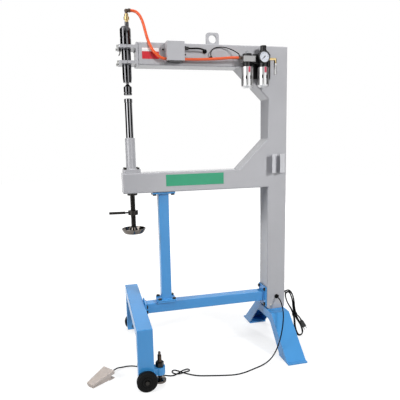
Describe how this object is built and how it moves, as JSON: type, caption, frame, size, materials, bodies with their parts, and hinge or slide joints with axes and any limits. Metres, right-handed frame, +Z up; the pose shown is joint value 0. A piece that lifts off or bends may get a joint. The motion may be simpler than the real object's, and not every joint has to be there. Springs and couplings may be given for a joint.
{
  "type": "planishing hammer",
  "caption": "Floor-standing pneumatic planishing hammer: deep C-frame with air hammer over a screw-raised anvil, air line, blue stand with wheels, foot pedal and mains lead",
  "frame": {"origin": "on the floor under the middle of the machine's box, with the free leads left out", "axes": "+X from the hammer towards the column, +Y from the front with the air line to the back, +Z up"},
  "size_m": [1.1751, 0.6686, 1.6733],
  "materials": {
    "grey_paint": "satin",
    "blue_paint": "satin",
    "black_metal": "satin",
    "steel": "brushed",
    "chrome": "polished",
    "brass": "polished",
    "aluminium": "satin",
    "orange_hose": "satin",
    "black_rubber": "matte",
    "black_plastic": "matte",
    "clear_plastic": "clear gloss",
    "white_dial": "matte",
    "red_plate": "satin",
    "green_plate": "satin",
    "beige_plastic": "matte"
  },
  "bodies": {
    "stand": {"c_frame": "grey_paint", "lifting_lug": "grey_paint", "hammer_bracket": "grey_paint", "clamp_caps": "grey_paint", "cap_screws": "black_metal", "hammer_barrel": "black_metal", "hammer_backhead": "black_metal", "coupler_body": "brass", "hose_tail": "steel", "hose_a": "orange_hose", "hose_b": "orange_hose", "hose_fittings": "steel", "valve_cover": "grey_paint", "solenoid_valve": "black_plastic", "cable_gland": "black_plastic", "valve_cable": "black_rubber", "grommets": "black_rubber", "sense_line": "black_rubber", "frl_bracket": "black_metal", "lubricator_head": "aluminium", "lubricator_collar": "black_plastic", "lubricator_bowl": "aluminium", "regulator_body": "black_plastic", "filter_bowl": "aluminium", "gauge_case": "black_plastic", "gauge_dial": "white_dial", "inlet_elbow": "brass", "inlet_plug": "chrome", "red_plate": "red_plate", "green_plate": "green_plate", "tool_rack": "grey_paint", "anvil_sleeve": "grey_paint", "screw_nut": "black_metal", "post": "blue_paint", "base_beam": "blue_paint", "front_foot": "blue_paint", "rear_foot": "blue_paint", "hex_bolts": "black_metal", "pedal_base": "beige_plastic", "pedal_spring": "steel", "pedal_cable": "black_rubber", "power_cord": "black_rubber", "power_plug": "black_plastic"},
    "lever": {"clamp_lever": "black_metal"},
    "coupler_ring": {"coupler_sleeve": "brass"},
    "piston_body": {"piston": "steel"},
    "die_body": {"upper_die": "black_metal"},
    "anvil": {"anvil_post": "chrome", "lower_die": "chrome"},
    "screw": {"anvil_screw": "black_metal", "handwheel": "steel"},
    "lock": {"lock_nut": "black_metal"},
    "dome": {"lubricator_dome": "clear_plastic"},
    "knob": {"regulator_knob": "black_plastic"},
    "needle": {"gauge_needle": "black_plastic"},
    "near_wheel": {"wheel_near": "black_rubber"},
    "far_wheel": {"wheel_far": "black_rubber"},
    "near_level": {"level_foot_near": "black_metal"},
    "far_level": {"level_foot_far": "black_metal"},
    "pedal": {"pedal_plate": "beige_plastic"}
  },
  "joints": [
    {"name": "lever_turn", "type": "hinge", "parent": "stand", "child": "lever", "pos_m": [-0.29169, -0.01, 1.4947], "axis": [0, 0, 1], "range_deg": [-60, 60]},
    {"name": "coupler_slide", "type": "slide", "parent": "stand", "child": "coupler_ring", "axis": [0, 0, 1], "range_m": [-0.006, 0], "stiffness_N_per_m": 400, "springref_m": 0.004},
    {"name": "piston_stroke", "type": "slide", "parent": "stand", "child": "piston_body", "axis": [0, 0, 1], "range_m": [0, 0.04]},
    {"name": "die_stroke", "type": "slide", "parent": "stand", "child": "die_body", "axis": [0, 0, 1], "range_m": [0, 0.006]},
    {"name": "anvil_lift", "type": "slide", "parent": "stand", "child": "anvil", "axis": [0, 0, 1], "range_m": [-0.08, 0.014]},
    {"name": "screw_turn", "type": "hinge", "parent": "anvil", "child": "screw", "pos_m": [-0.26269, 0, 0.645], "axis": [0, 0, 1], "range_deg": [-5750, 1000]},
    {"name": "lock_turn", "type": "hinge", "parent": "screw", "child": "lock", "pos_m": [-0.26269, 0, 0.7505], "axis": [0, 0, 1], "continuous": true},
    {"name": "dome_turn", "type": "hinge", "parent": "stand", "child": "dome", "pos_m": [0.29331, -0.084, 1.4723], "axis": [0, 0, 1], "range_deg": [0, 270]},
    {"name": "knob_turn", "type": "hinge", "parent": "stand", "child": "knob", "pos_m": [0.37431, -0.084, 1.4893], "axis": [0, 0, 1], "range_deg": [-720, 720]},
    {"name": "needle_sweep", "type": "hinge", "parent": "stand", "child": "needle", "pos_m": [0.36081, -0.1293, 1.452], "axis": [0, 1, 0], "range_deg": [0, 270]},
    {"name": "near_wheel_spin", "type": "hinge", "parent": "stand", "child": "near_wheel", "pos_m": [-0.26369, -0.307, 0.0455], "axis": [0, 1, 0], "continuous": true},
    {"name": "far_wheel_spin", "type": "hinge", "parent": "stand", "child": "far_wheel", "pos_m": [-0.26369, 0.307, 0.0455], "axis": [0, 1, 0], "continuous": true},
    {"name": "near_level_screw", "type": "slide", "parent": "stand", "child": "near_level", "axis": [0, 0, 1], "range_m": [-0.03, 0.012]},
    {"name": "far_level_screw", "type": "slide", "parent": "stand", "child": "far_level", "axis": [0, 0, 1], "range_m": [-0.03, 0.012]},
    {"name": "pedal_press", "type": "hinge", "parent": "stand", "child": "pedal", "pos_m": [-0.49989, -0.21778, 0.01], "axis": [-0.6561, 0.7547, 0], "range_deg": [0, 5.5], "stiffness_Nm_per_rad": 4, "springref_deg": -4.58, "deforming": ["pedal_spring"]}
  ],
  "couplings": [
    {"joint": "anvil_lift", "follows": "screw_turn", "m_per_rad": 0.00079577}
  ]
}
